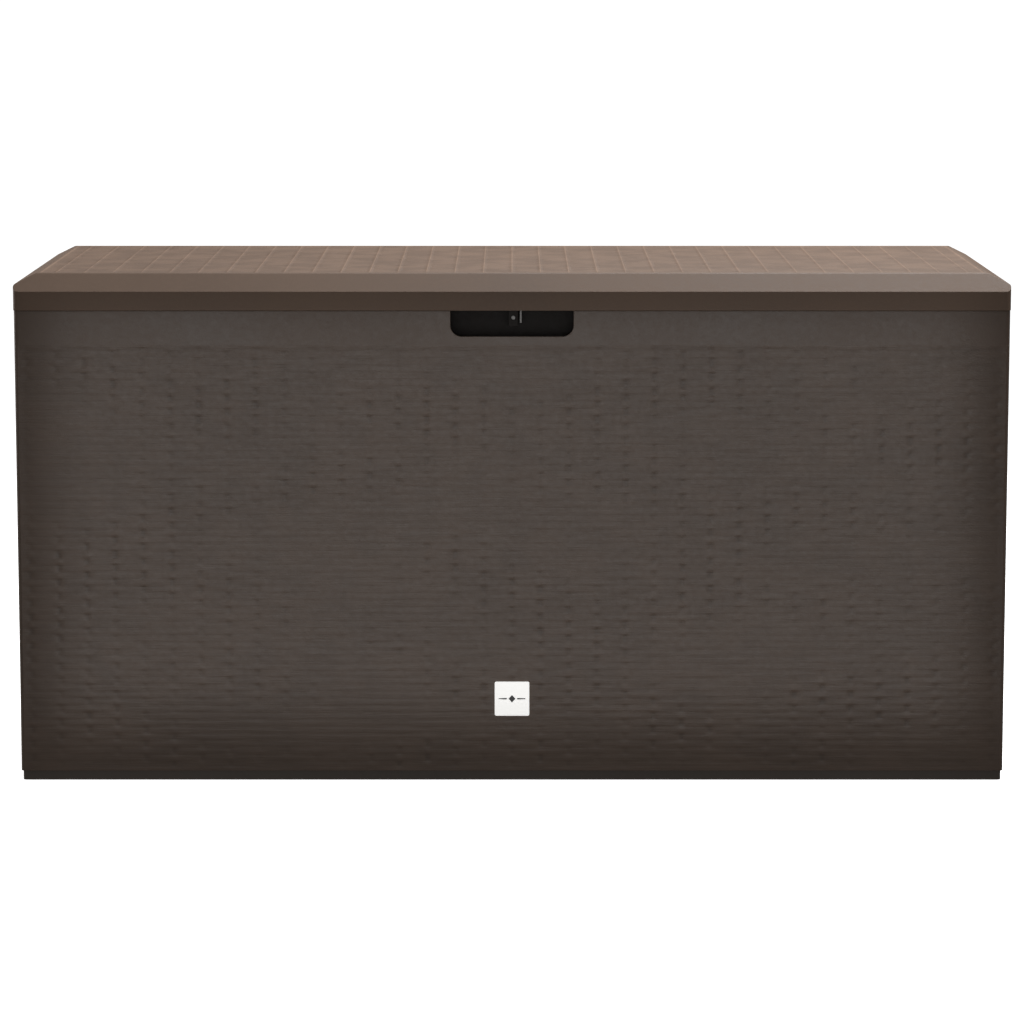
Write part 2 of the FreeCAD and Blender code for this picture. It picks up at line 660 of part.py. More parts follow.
def stay_arm(side):
    """Flat arm with an eye at the lid end and a foot pin in the track."""
    span_y = SLIDER_Y - PIVOT_Y
    span_z = SLIDER_Z - PIVOT_Z
    length = math.hypot(span_y, span_z)
    bar = box(ARM_X, ARM_X + ARM_T, 0, length, -ARM_HALF_WIDTH, ARM_HALF_WIDTH)
    bar.rotate(FreeCAD.Vector(0, 0, 0), X_AXIS, math.degrees(math.atan2(span_z, span_y)))
    bar.translate(FreeCAD.Vector(0, PIVOT_Y, PIVOT_Z))
    upper_eye = rod(ARM_X, PIVOT_Y, PIVOT_Z, ARM_HALF_WIDTH, ARM_T, X_AXIS)
    lower_eye = rod(ARM_X, SLIDER_Y, SLIDER_Z, ARM_HALF_WIDTH, ARM_T, X_AXIS)
    foot_length = TRACK_GAP + GROOVE_DEPTH - GROOVE_PLAY
    foot_pin = rod(ARM_X + ARM_T, SLIDER_Y, SLIDER_Z, SLIDER_R, foot_length, X_AXIS)
    hole = rod(ARM_X - 1, PIVOT_Y, PIVOT_Z, ARM_PIVOT_R + PIN_PLAY, ARM_T + 2, X_AXIS)
    return on_side(fuse([bar, upper_eye, lower_eye, foot_pin]).cut(hole), side)


def stay_bracket(side, screws):
    """Angle under the plateau whose ear carries the arm."""
    ear_x0 = ARM_X - TRACK_GAP - BRACKET_T
    top = HEIGHT - LID_T
    half = ARM_HALF_WIDTH + 1.0
    plate = box(ear_x0 - BRACKET_REACH, ear_x0 + BRACKET_T / 2, PIVOT_Y - half, PIVOT_Y + half,
                top - LEAF_T, top)
    ear = box(ear_x0, ear_x0 + BRACKET_T, PIVOT_Y - half, PIVOT_Y + half, PIVOT_Z, top - LEAF_T / 2)
    eye = rod(ear_x0, PIVOT_Y, PIVOT_Z, half, BRACKET_T, X_AXIS)
    hole = rod(ear_x0 - 1, PIVOT_Y, PIVOT_Z, ARM_PIVOT_R, BRACKET_T + 2, X_AXIS)
    return on_side(fuse([plate, ear, eye]).cut(hole), side).cut(screws)


def stay_pivot(side):
    """Headed pin that holds the arm to its bracket."""
    head_t = 1.5
    ear_x0 = ARM_X - TRACK_GAP - BRACKET_T
    shank = rod(ear_x0, PIVOT_Y, PIVOT_Z, ARM_PIVOT_R, BRACKET_T + TRACK_GAP + ARM_T + JOINT_GAP, X_AXIS)
    inner_head = rod(ear_x0 - head_t, PIVOT_Y, PIVOT_Z, ARM_PIVOT_R + 2, head_t, X_AXIS)
    outer_head = rod(ARM_X + ARM_T + JOINT_GAP, PIVOT_Y, PIVOT_Z, ARM_PIVOT_R + 2, head_t, X_AXIS)
    return on_side(fuse([inner_head, shank, outer_head]), side)


def bracket_screws():
    """Two screws up through each stay bracket into the lid."""
    screws = []
    for side in (-1, 1):
        for offset in (9.0, 18.0):
            x = side * (ARM_X - TRACK_GAP - BRACKET_T - offset + 3.0)
            y = PIVOT_Y + (4.0 if offset > 10.0 else -4.0)
            shank_top = rod(x, y, HEIGHT - LID_T - LEAF_T, SCREW_R, LEAF_T + 1.5, Z_AXIS)
            head = rod(x, y, HEIGHT - LID_T - LEAF_T - SCREW_HEAD_T, SCREW_HEAD_R, SCREW_HEAD_T, Z_AXIS)
            screws.append(head.fuse(shank_top).removeSplitter())
    return screws


# ---------------------------------------------------------------- plaque

def name_plaque():
    """Small blank square plaque on the front."""
    half = PLAQUE_SIZE / 2
    profile = round_rect(-half, half, PLAQUE_Z - half, PLAQUE_Z + half, 0, PLAQUE_R)
    plaque = Part.Face(profile).extrude(FreeCAD.Vector(0, 0, PLAQUE_T))
    plaque.rotate(FreeCAD.Vector(0, 0, 0), X_AXIS, 90)
    plaque.translate(FreeCAD.Vector(0, WALL_FRONT, 0))
    return plaque


def save(name, shape):
    """Write one node's STEP file."""
    shape.exportStep(os.path.join("parts", name + ".step"))


def main():
    os.makedirs("parts", exist_ok=True)
    rivets = Part.makeCompound(post_rivets())
    body_screws = Part.makeCompound(leaf_screws(WALL_REAR + LEAF_T, 526.0))
    lid_leaf_screws = Part.makeCompound(leaf_screws(LID_REAR + LEAF_T, 560.5))
    stay_screws = Part.makeCompound(bracket_screws())
    lid_screws = Part.makeCompound([lid_leaf_screws, stay_screws])

    save("front_base_rail", long_base_rail(True))
    save("rear_base_rail", long_base_rail(False))
    save("floor_panel", floor_panel())
    front = front_wall(rivets)
    save("front_panel", woven_part(front))
    save("front_top_rail", top_rail(front))
    save("back_panel", back_panel(rivets, body_screws))
    for name, side in STAY_NAMES:
        save(name + "_base_rail", end_base_rail(side))
        end = end_wall(side, rivets)
        save(name + "_end_panel", woven_part(end))
        save(name + "_end_top_rail", top_rail(end))
        save(name + "_grip_cup", grip_cup(side))
        save(name + "_front_corner_post", corner_post(side, True, rivets))
        save(name + "_rear_corner_post", corner_post(side, False, rivets))
        save(name + "_stay_track", stay_track(side))
        save(name + "_stay_arm", stay_arm(side))
        save(name + "_stay_bracket", stay_bracket(side, stay_screws))
        save(name + "_stay_pivot", stay_pivot(side))
    save("post_rivets", rivets)
    save("latch_pocket", latch_pocket())
    save("padlock_blade", padlock_blade())
    stud = padlock_stud()
    save("padlock_stud", stud)
    save("padlock_lug", padlock_lug(stud))
    save("lid_shell", lid_shell(lid_screws))
    save("lid_rib_frame", lid_rib_frame())
    for name, x in zip(HINGE_NAMES, HINGE_X):
        save(name + "_hinge_body_leaf", hinge_body_leaf(x, body_screws))
        save(name + "_hinge_lid_leaf", hinge_lid_leaf(x, lid_leaf_screws))
        save(name + "_hinge_pin", hinge_pin(x))
    save("hinge_screws_body", body_screws)
    save("hinge_screws_lid", lid_leaf_screws)
    save("stay_bracket_screws", stay_screws)
    save("front_plaque", name_plaque())


main()
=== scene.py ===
import json
import math

import bpy
import numpy as np
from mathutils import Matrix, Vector


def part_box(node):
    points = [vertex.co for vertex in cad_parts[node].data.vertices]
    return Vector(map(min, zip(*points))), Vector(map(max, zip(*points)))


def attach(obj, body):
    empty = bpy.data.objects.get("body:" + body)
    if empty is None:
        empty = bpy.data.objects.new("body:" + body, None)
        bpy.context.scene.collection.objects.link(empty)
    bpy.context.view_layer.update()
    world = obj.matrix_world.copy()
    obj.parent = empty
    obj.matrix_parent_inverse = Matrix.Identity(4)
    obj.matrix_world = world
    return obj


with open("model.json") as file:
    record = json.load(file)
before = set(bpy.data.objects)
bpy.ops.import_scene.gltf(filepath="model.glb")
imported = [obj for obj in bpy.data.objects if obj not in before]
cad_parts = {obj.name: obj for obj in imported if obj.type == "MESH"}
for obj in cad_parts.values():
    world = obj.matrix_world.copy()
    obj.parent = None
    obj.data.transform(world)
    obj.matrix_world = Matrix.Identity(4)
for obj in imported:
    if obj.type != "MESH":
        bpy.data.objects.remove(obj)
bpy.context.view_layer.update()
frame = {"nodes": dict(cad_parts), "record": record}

NODES = frame["nodes"]
MM = 0.001


# ---------------------------------------------------------------- camera

CAMERA_LENS = 140.1
CAMERA_PLACE = (0.0, -4.7696, 0.9582)
CAMERA_PITCH = 81.92

camera_data = bpy.data.cameras.new("camera")
camera_data.sensor_width = 36.0
camera_data.lens = CAMERA_LENS
camera_data.clip_end = 200.0
camera = bpy.data.objects.new("camera", camera_data)
camera.location = CAMERA_PLACE
camera.rotation_euler = (math.radians(CAMERA_PITCH), 0.0, 0.0)
bpy.context.scene.collection.objects.link(camera)
bpy.context.scene.camera = camera
bpy.context.scene.view_settings.view_transform = "Standard"
bpy.context.scene.view_settings.look = "None"


# ---------------------------------------------------------------- shader helpers

def shade(base, factor):
    """An RGB triple made lighter or darker."""
    return tuple(channel * factor for channel in base)


class Shader:
    """A material under construction, with short calls for the nodes it needs."""

    def __init__(self, name, base, roughness, specular=0.5, metallic=0.0):
        self.material = bpy.data.materials.new(name)
        self.material.use_nodes = True
        self.tree = self.material.node_tree
        self.bsdf = self.tree.nodes["Principled BSDF"]
        self.bsdf.inputs["Base Color"].default_value = (*base, 1.0)
        self.bsdf.inputs["Roughness"].default_value = roughness
        self.bsdf.inputs["Specular IOR Level"].default_value = specular
        self.bsdf.inputs["Metallic"].default_value = metallic
        self.coords = self.node("ShaderNodeTexCoord").outputs["Object"]

    def node(self, kind, **settings):
        made = self.tree.nodes.new(kind)
        for key, value in settings.items():
            setattr(made, key, value)
        return made

    def link(self, source, target):
        self.tree.links.new(source, target)

    def noise(self, scale, detail=2.0, roughness=0.5, stretch=(1.0, 1.0, 1.0), seed=0.0):
        """Noise in the object's own space, in cycles per metre, stretched along the axes."""
        mapping = self.node("ShaderNodeMapping")
        mapping.inputs["Scale"].default_value = stretch
        mapping.inputs["Location"].default_value = (seed, seed * 1.7, seed * 0.6)
        self.link(self.coords, mapping.inputs["Vector"])
        texture = self.node("ShaderNodeTexNoise")
        texture.inputs["Scale"].default_value = scale
        texture.inputs["Detail"].default_value = detail
        texture.inputs["Roughness"].default_value = roughness
        self.link(mapping.outputs["Vector"], texture.inputs["Vector"])
        return texture.outputs["Fac"]

    def ramp(self, value, low, high, out_low, out_high):
        """A number taken from one span to another, kept inside it."""
        spread = self.node("ShaderNodeMapRange", clamp=True)
        self.link(value, spread.inputs["Value"])
        for name, number in (("From Min", low), ("From Max", high),
                             ("To Min", out_low), ("To Max", out_high)):
            spread.inputs[name].default_value = number
        return spread.outputs["Result"]

    def maths(self, operation, first, second):
        """One arithmetic step on two numbers, each a socket or a constant."""
        made = self.node("ShaderNodeMath", operation=operation)
        for index, value in enumerate((first, second)):
            if isinstance(value, (int, float)):
                made.inputs[index].default_value = value
            else:
                self.link(value, made.inputs[index])
        return made.outputs["Value"]

    def blend(self, factor, first, second, mode="MIX"):
        """Mix of two colours, each a socket or an RGB triple."""
        made = self.node("ShaderNodeMix", data_type="RGBA", blend_type=mode)
        if isinstance(factor, (int, float)):
            made.inputs[0].default_value = factor
        else:
            self.link(factor, made.inputs[0])
        for index, value in ((6, first), (7, second)):
            if isinstance(value, tuple):
                made.inputs[index].default_value = (*value, 1.0)
            else:
                self.link(value, made.inputs[index])
        return made.outputs[2]

    def worn_edge(self, radius):
        """A rounded normal, and a mask that is 1 along edges, inner ones too, and 0 on flats."""
        bevel = self.node("ShaderNodeBevel", samples=6)
        bevel.inputs["Radius"].default_value = radius
        plain = self.node("ShaderNodeNewGeometry")
        dot = self.node("ShaderNodeVectorMath", operation="DOT_PRODUCT")
        self.link(bevel.outputs["Normal"], dot.inputs[0])
        self.link(plain.outputs["Normal"], dot.inputs[1])
        return bevel.outputs["Normal"], self.ramp(dot.outputs["Value"], 0.985, 0.86, 0.0, 1.0)

    def tinted(self, tone, factor):
        """A colour socket made lighter or darker."""
        return self.blend(1.0, tone, (factor, factor, factor), "MULTIPLY")

    def bump(self, height, distance, normal=None):
        """Full-strength relief, with its depth in metres."""
        made = self.node("ShaderNodeBump")
        made.inputs["Distance"].default_value = distance
        made.inputs["Strength"].default_value = 1.0
        self.link(height, made.inputs["Height"])
        if normal is not None:
            self.link(normal, made.inputs["Normal"])
        return made.outputs["Normal"]

    def set(self, name, source):
        self.link(source, self.bsdf.inputs[name])


def moulded(name, base, roughness, grain=0.00006, edge=0.0012, specular=0.5, wear=0.35,
            mottle=0.09):
    """Moulded polypropylene: soft mottling, spark-eroded grain, and rubbed edges."""
    s = Shader(name, base, roughness, specular)
    cloud = s.noise(5.0, 3.0, 0.55, seed=3.1)
    speck = s.noise(190.0, 2.0, 0.6, seed=1.3)
    grainy = s.noise(1400.0, 2.0, 0.6, seed=7.7)
    normal, edges = s.worn_edge(edge)
    tone = s.blend(s.ramp(cloud, 0.3, 0.7, 0.0, 1.0), shade(base, 1.0 - mottle),
                   shade(base, 1.0 + mottle))
    tone = s.blend(s.ramp(speck, 0.45, 0.75, 0.0, 0.30), tone, shade(base, 1.25))
    rubbed = s.maths("MULTIPLY", edges, s.ramp(speck, 0.35, 0.65, 0.4 * wear, wear))
    s.set("Base Color", s.blend(rubbed, tone, shade(base, 1.9)))
    s.set("Roughness", s.ramp(s.maths("ADD", cloud, speck), 0.7, 1.3, roughness - 0.05,
                              roughness + 0.06))
    s.set("Normal", s.bump(grainy, grain, normal))
    return s.material


def woven(name, base, roughness, across, low, high, specular=0.5, valley=0.62, crest=1.18,
          patchy=0.05):
    """Woven relief: long strand lines, with painted shade darkening the valleys and a painted
    highlight lightening the crests.
    """
    s = Shader(name, base, roughness, specular)
    along = tuple(1.0 if axis == across else 0.045 for axis in "XYZ")
    strand = s.noise(520.0, 3.0, 0.62, stretch=along, seed=2.2)
    fibre = s.noise(1900.0, 2.0, 0.5, stretch=along, seed=5.9)
    cloud = s.noise(4.0, 3.0, 0.6, seed=9.3)
    speck = s.noise(150.0, 2.0, 0.6, seed=4.4)
    relief = s.node("ShaderNodeAttribute", attribute_name="crest").outputs["Fac"]
    patches = s.noise(26.0, 2.0, 0.5, seed=6.6)
    tone = s.blend(s.ramp(cloud, 0.3, 0.7, 0.0, 1.0), shade(base, 0.95), shade(base, 1.05))
    light, dark = s.tinted(tone, 1.0 + patchy), s.tinted(tone, 1.0 - patchy)
    tone = s.blend(s.ramp(patches, 0.40, 0.60, 0.0, 1.0), dark, light)
    tone = s.blend(s.ramp(strand, 0.35, 0.68, 0.0, 1.0), s.tinted(tone, 0.95),
                   s.tinted(tone, 1.05))
    # Painted shade: the relief's low parts, read from the height in the crest attribute, are
    # darkened by valley; painted highlight: its high parts are lightened by crest.
    tone = s.blend(s.ramp(relief, low[0], low[1], 1.0, 0.0), tone, s.tinted(tone, valley))
    tone = s.blend(s.ramp(relief, high[0], high[1], 0.0, 1.0), tone, s.tinted(tone, crest))
    s.set("Base Color", tone)
    rough = s.ramp(s.maths("ADD", strand, speck), 0.7, 1.3, roughness - 0.05, roughness + 0.08)
    s.set("Roughness", rough)
    lines = s.maths("ADD", strand, s.maths("MULTIPLY", fibre, 0.35))
    s.set("Normal", s.bump(lines, 0.00022))
    return s.material


def plated(name, base, roughness):
    """Zinc-plated steel: fine rolling lines, passivated patches and rounded edges."""
    s = Shader(name, base, roughness, metallic=1.0)
    lines = s.noise(900.0, 2.0, 0.6, stretch=(0.08, 1.0, 1.0), seed=1.0)
    patch = s.noise(240.0, 3.0, 0.6, seed=6.0)
    tone = s.blend(s.ramp(patch, 0.35, 0.65, 0.0, 1.0), shade(base, 0.78), base)
    s.set("Base Color", s.blend(s.ramp(lines, 0.4, 0.7, 0.0, 0.4), tone, shade(base, 0.6)))
    s.set("Roughness", s.ramp(patch, 0.3, 0.7, roughness, roughness + 0.18))
    normal, _ = s.worn_edge(0.0005)
    s.set("Normal", s.bump(lines, 0.00003, normal))
    return s.material


BARE_STEEL = (0.22, 0.19, 0.165)


def coated(name, base, roughness):
    """Powder-coated steel: orange-peel skin, thinner and paler on its edges."""
    s = Shader(name, base, roughness)
    peel = s.noise(700.0, 1.0, 0.4, seed=8.0)
    patch = s.noise(60.0, 2.0, 0.5, seed=2.0)
    normal, edges = s.worn_edge(0.0007)
    tone = s.blend(s.ramp(patch, 0.35, 0.65, 0.0, 1.0), shade(base, 0.85), shade(base, 1.12))
    chips = s.maths("MULTIPLY", edges, s.ramp(patch, 0.42, 0.62, 0.05, 0.55))
    s.set("Base Color", s.blend(chips, tone, BARE_STEEL))
    s.set("Roughness", s.ramp(peel, 0.3, 0.7, roughness - 0.05, roughness + 0.10))
    s.set("Normal", s.bump(peel, 0.00009, normal))
    return s.material


WALL = (0.095, 0.062, 0.043)
# Painted light: the lid's plastic is the wall's colour made 1.5 times lighter, standing in for the
# light on the lid's top and bevels.
LID_WITH_PAINTED_LIGHT = (0.142, 0.093, 0.065)

wall_plain = moulded("wall_plain", WALL, 0.40, edge=0.0009, wear=0.7)
# Painted shade and highlight: valley darkens the weave's low parts and crest lightens its high
# parts, in both woven fields.
wall_weave = woven("wall_weave", WALL, 0.40, "Z", (-1.0, -0.58), (-0.30, -0.08), valley=0.78,
                   crest=1.06)
lid_plain = moulded("lid_plain", LID_WITH_PAINTED_LIGHT, 0.55, specular=0.28)
# Painted light: the woven top is made 1.13 times lighter again, and its crests get a strong painted
# highlight.
lid_weave = woven("lid_weave", shade(LID_WITH_PAINTED_LIGHT, 1.13), 0.50, "Y", (-1.35, -0.85), (-0.35, -0.08),
                  specular=0.25, valley=0.76, crest=1.5, patchy=0.09)
base_plain = moulded("base_plain", (0.078, 0.062, 0.050), 0.50)
inner_plain = moulded("inner_plain", (0.011, 0.0070, 0.0050), 0.60, specular=0.25, wear=0.3)
hinge_coat = coated("hinge_coat", (0.062, 0.046, 0.037), 0.42)
zinc = plated("zinc", (0.60, 0.59, 0.57), 0.28)
dull_zinc = plated("dull_zinc", (0.34, 0.33, 0.32), 0.50)
plaque_white = moulded("plaque_white", (0.93, 0.92, 0.90), 0.25, grain=0.00001, edge=0.0004,
                       wear=0.0, mottle=0.01)
# Painted light: the white plaque glows a little though it is no lamp, so it reads brighter than its
# lighting makes it.
plaque_painted_glow = plaque_white.node_tree.nodes["Principled BSDF"].inputs
plaque_painted_glow["Emission Color"].default_value = (1.0, 0.99, 0.96, 1.0)
plaque_painted_glow["Emission Strength"].default_value = 0.52
plaque_ink = moulded("plaque_ink", (0.03, 0.03, 0.033), 0.35, grain=0.00001, edge=0.0002,
                     wear=0.0)

FINISH = {"wall_plastic": wall_plain, "lid_plastic": lid_plain, "base_plastic": base_plain,
          "inner_plastic": inner_plain, "hinge_metal": hinge_coat, "steel": zinc,
          "plaque": plaque_white}
for row in frame["record"]["subparts"]:
    NODES[row["node"]].data.materials.clear()
    NODES[row["node"]].data.materials.append(FINISH[row["material_slot"]])
for name in ("padlock_blade", "padlock_stud"):
    NODES[name].data.materials[0] = dull_zinc


# ---------------------------------------------------------------- woven relief

STAKE = 32.65 * MM
LID_STAKE = 32.7 * MM
WEAVER = 8.23 * MM
LAP = 1.0 * MM
SIDE_LAP = 0.4 * MM
SLAB_BACK = -1.65
STAKE_OFFSETS = (-11.0, -6.0, -3.4, -1.6, 0.0, 1.6, 3.4, 6.0, 11.0)
STAKE_CLEAR = 0.4 * MM
WEAVER_SAMPLES = 5
WEAVER_CLEAR = 0.3 * MM

# Levels, drops and rises are in millimetres against the rims, and widths in millimetres
# across a stake. DEPTH, POWER, ROUND and GAIN are plain ratios; DEPTH_DRIFT counts cells.
LEVEL_SPREAD = 0.06
DEPTH_MEAN = 0.62
DEPTH_SWING = 0.38
DEPTH_DRIFT = (9, 5)
DRIFT_LIMIT = 1.6
MEAN_LEVEL = -0.34
VALLEY_DROP = 0.15
VALLEY_POWER = 2.6
UNDER_DROP = 0.46
UNDER_ROUND = 0.3
UNDER_WIDTH = 3.9
UNDER_POWER = 2.6
OVER_RISE = 0.24
OVER_WIDTH = 4.6
RIDGE_GAIN = 1.5
RIDGE_DROP = 0.25
SPINE_WIDTH = 1.5
SPINE_DROP = 0.05
LOWEST = -1.40
HIGHEST = -0.03
RIM_LEVEL = 0.02
WALL_BLEND = 5.0 * MM
LID_BLEND = 3.0 * MM


def stake_lines(low, high, centre, pitch):
    """Sample positions across the stakes, closer together near each one."""
    count = int((high - low) / pitch) + 3
    lines = [centre + index * pitch + offset * MM
             for index in range(-count, count + 1) for offset in STAKE_OFFSETS]
    inside = [value for value in lines if low + STAKE_CLEAR < value < high - STAKE_CLEAR]
    return np.array([low] + inside + [high])


def weaver_lines(low, high, pitch):
    """Sample positions across the weavers, counted down from the top edge."""
    step = pitch / WEAVER_SAMPLES
    lines = [high - step * index for index in range(1, int((high - low) / step) + 1)]
    inside = [value for value in lines if low + WEAVER_CLEAR < value < high - WEAVER_CLEAR]
    return np.array([low] + sorted(inside) + [high])


def eased(share):
    """A share from 0 to 1 that starts and ends level."""
    return share * share * (3.0 - 2.0 * share)


def smooth_field(shape, random, spread):
    """Random numbers with neighbours alike, kept within DRIFT_LIMIT of zero."""
    field = random.normal(0.0, 1.0, shape)
    for axis in (0, 1):
        window = np.hanning(spread[axis] + 2)[1:-1]
        window /= np.sqrt((window ** 2).sum())
        field = np.apply_along_axis(np.convolve, axis, field, window, mode="same")
    return np.clip(field, -DRIFT_LIMIT, DRIFT_LIMIT)


def weave_height(along, across, stake, weaver, top, centre, ridge, seed):
    """Height of weavers that pass over and under stakes, in millimetres, negative below the rims."""
    random = np.random.default_rng(seed)
    column = np.rint((along - centre) / stake).astype(int)
    row_position = (top - across) / weaver
    row = np.clip(np.floor(row_position).astype(int), 0, None)
    side = 2.0 * (row_position - row) - 1.0
    offset = (along - centre - column * stake) / MM
    under = (column + row) % 2 == 1
    column_index = column - column.min()
    shape = (row.max() + 2, column_index.max() + 4)
    levels = random.normal(0.0, LEVEL_SPREAD, shape)
    drift = smooth_field(shape, random, DEPTH_DRIFT)[row, column_index]
    depth = DEPTH_MEAN + DEPTH_SWING * drift
    lower = np.floor((along - centre) / stake).astype(int) - column.min() + 1
    share = (along - centre) / stake - np.floor((along - centre) / stake)
    share = eased(share)
    level = levels[row, lower] * (1.0 - share) + levels[row, lower + 1] * share
    valley = np.abs(side) ** VALLEY_POWER
    crest = np.exp(-(offset / OVER_WIDTH) ** 2)
    dip = np.exp(-(np.abs(offset) / UNDER_WIDTH) ** UNDER_POWER)
    height = MEAN_LEVEL - VALLEY_DROP * valley + level * (1.0 - valley)
    height += np.where(under, -UNDER_DROP * depth * dip * (1.0 - UNDER_ROUND * side ** 2),
                       OVER_RISE * depth * crest * (1.0 - valley))
    if ridge:
        spine = np.exp(-(offset / SPINE_WIDTH) ** 4)
        height = (height * RIDGE_GAIN - RIDGE_DROP) * (1.0 - spine) - SPINE_DROP * spine
    return np.clip(height, LOWEST, HIGHEST)


def flush_edges(height, along, across, width):
    """Relief brought up to the rims at its four edges."""
    edge = np.minimum(np.minimum(along - along.min(), along.max() - along),
                      np.minimum(across - across.min(), across.max() - across))
    share = np.clip((edge - LAP) / width, 0.0, 1.0)
    return RIM_LEVEL + (height - RIM_LEVEL) * eased(share)


def woven_slab(name, body, material, place, along, across, relief, outward):
    """Closed slab whose outer face carries the relief; its back sits in the recess floor."""
    grid_a, grid_b = np.meshgrid(along, across)
    height = relief(grid_a, grid_b) * MM
    top = place(grid_a.ravel(), grid_b.ravel(), height.ravel())
    low_a, high_a = along[0] + SIDE_LAP, along[-1] - SIDE_LAP
    low_b, high_b = across[0] + LAP, across[-1] - LAP
    corner_a = np.array([low_a, high_a, high_a, low_a])
    corner_b = np.array([low_b, low_b, high_b, high_b])
    bottom = place(corner_a, corner_b, np.full(4, SLAB_BACK * MM))
    vertices = np.concatenate([top, bottom])
    count_a, count_b = len(along), len(across)
    index = np.arange(count_a * count_b).reshape(count_b, count_a)
    quads = np.stack([index[:-1, :-1], index[:-1, 1:], index[1:, 1:], index[1:, :-1]],
                     axis=-1).reshape(-1, 4)
    corner = count_a * count_b
    rims = [[corner, corner + 1] + list(index[0, ::-1]),
            [corner + 1, corner + 2] + list(index[::-1, -1]),
            [corner + 2, corner + 3] + list(index[-1, :]),
            [corner + 3, corner] + list(index[:, 0]),
            [corner + 3, corner + 2, corner + 1, corner]]
    faces = quads.tolist() + rims
    if not outward:
        faces = [face[::-1] for face in faces]
    mesh = bpy.data.meshes.new(name)
    mesh.from_pydata(vertices.tolist(), [], faces)
    smooth = np.zeros(len(faces), dtype=bool)
    smooth[:len(quads)] = True
    mesh.polygons.foreach_set("use_smooth", smooth)
    border = np.ones(len(vertices), dtype=bool)
    border[index[1:-1, 1:-1].ravel()] = False
    ends = np.zeros(2 * len(mesh.edges), dtype=np.int32)
    mesh.edges.foreach_get("vertices", ends)
    mesh.edges.foreach_set("use_edge_sharp", border[ends.reshape(-1, 2)].all(axis=1))
    # The relief's height, which the woven materials turn into painted shade in the valleys and a
    # painted highlight on the crests.
    painted_shade_height = mesh.attributes.new("crest", "FLOAT", "POINT")
    painted_shade_height.data.foreach_set("value", np.append(height.ravel() / MM, np.full(4, SLAB_BACK)))
    mesh.materials.append(material)
    mesh.update()
    piece = bpy.data.objects.new(name, mesh)
    bpy.context.scene.collection.objects.link(piece)
    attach(piece, body)


def wall_field(name, low, high, z_low, z_high, place, outward, seed):
    """Woven field of one wall."""
    centre = (low + high) / 2

    def relief(along, across):
        height = weave_height(along, across, STAKE, WEAVER, z_high, centre, False, seed)
        return flush_edges(height, along, across, WALL_BLEND)

    lines = stake_lines(low, high, centre, STAKE)
    across = weaver_lines(z_low, z_high, WEAVER)
    woven_slab(name, "box", wall_weave, place, lines, across, relief, outward)


front_low, front_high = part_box("front_panel")
back_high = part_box("back_panel")[1]
left_low, left_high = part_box("left_end_panel")
right_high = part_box("right_end_panel")[1]
lid_low, lid_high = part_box("lid_shell")

FOOT_MARGIN = 1.5 * MM
LONG_MARGIN = 4.5 * MM
END_MARGIN = 0.3 * MM
field_low = front_low.z + FOOT_MARGIN - LAP
field_high = front_high.z + LAP
long_half = front_high.x - LONG_MARGIN + SIDE_LAP
end_front = left_low.y + END_MARGIN
end_rear = left_high.y - END_MARGIN

wall_field("front_weave", -long_half, long_half, field_low, field_high,
           lambda a, b, h: np.stack([a, front_low.y - h, b], axis=1), True, 11)
wall_field("back_weave", -long_half, long_half, field_low, field_high,
           lambda a, b, h: np.stack([a, back_high.y + h, b], axis=1), False, 12)
wall_field("left_end_weave", end_front, end_rear, field_low, field_high,
           lambda a, b, h: np.stack([left_low.x - h, a, b], axis=1), False, 13)
wall_field("right_end_weave", end_front, end_rear, field_low, field_high,
           lambda a, b, h: np.stack([right_high.x + h, a, b], axis=1), True, 14)

LID_MARGIN = 27.5 * MM
LID_END_MARGIN = 29.0 * MM
lid_half = lid_high.x - LID_END_MARGIN + SIDE_LAP
lid_front = lid_low.y + LID_MARGIN - LAP
lid_rear = lid_high.y - LID_MARGIN + LAP
lid_columns = stake_lines(-lid_half, lid_half, 0.0, LID_STAKE)
lid_rows = weaver_lines(lid_front, lid_rear, WEAVER)


def lid_relief(along, across):
    """Relief of the lid's field, with a raised spine along each stake."""
    height = weave_height(along, across, LID_STAKE, WEAVER, lid_rear, 0.0, True, 21)
    return flush_edges(height, along, across, LID_BLEND)


def on_lid(a, b, h):
    """Points on the plateau, raised by h."""
    return np.stack([a, b, lid_high.z + h], axis=1)


woven_slab("lid_weave", "lid", lid_weave, on_lid, lid_columns, lid_rows,
           lid_relief, True)


# ---------------------------------------------------------------- plaque ornament

def inlay(name, outlines, y_front, y_back):
    """Thin closed plates, one per outline of points in X and Z."""
    vertices, faces = [], []
    for outline in outlines:
        start, count = len(vertices), len(outline)
        vertices += [(x, y_front, z) for x, z in outline] + [(x, y_back, z) for x, z in outline]
        faces.append([start + index for index in range(count)])
        faces.append([start + count + index for index in reversed(range(count))])
        for index in range(count):
            following = (index + 1) % count
            faces.append([start + following, start + index, start + count + index,
                          start + count + following])
    mesh = bpy.data.meshes.new(name)
    mesh.from_pydata(vertices, [], faces)
    mesh.materials.append(plaque_ink)
    piece = bpy.data.objects.new(name, mesh)
    bpy.context.scene.collection.objects.link(piece)
    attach(piece, "box")


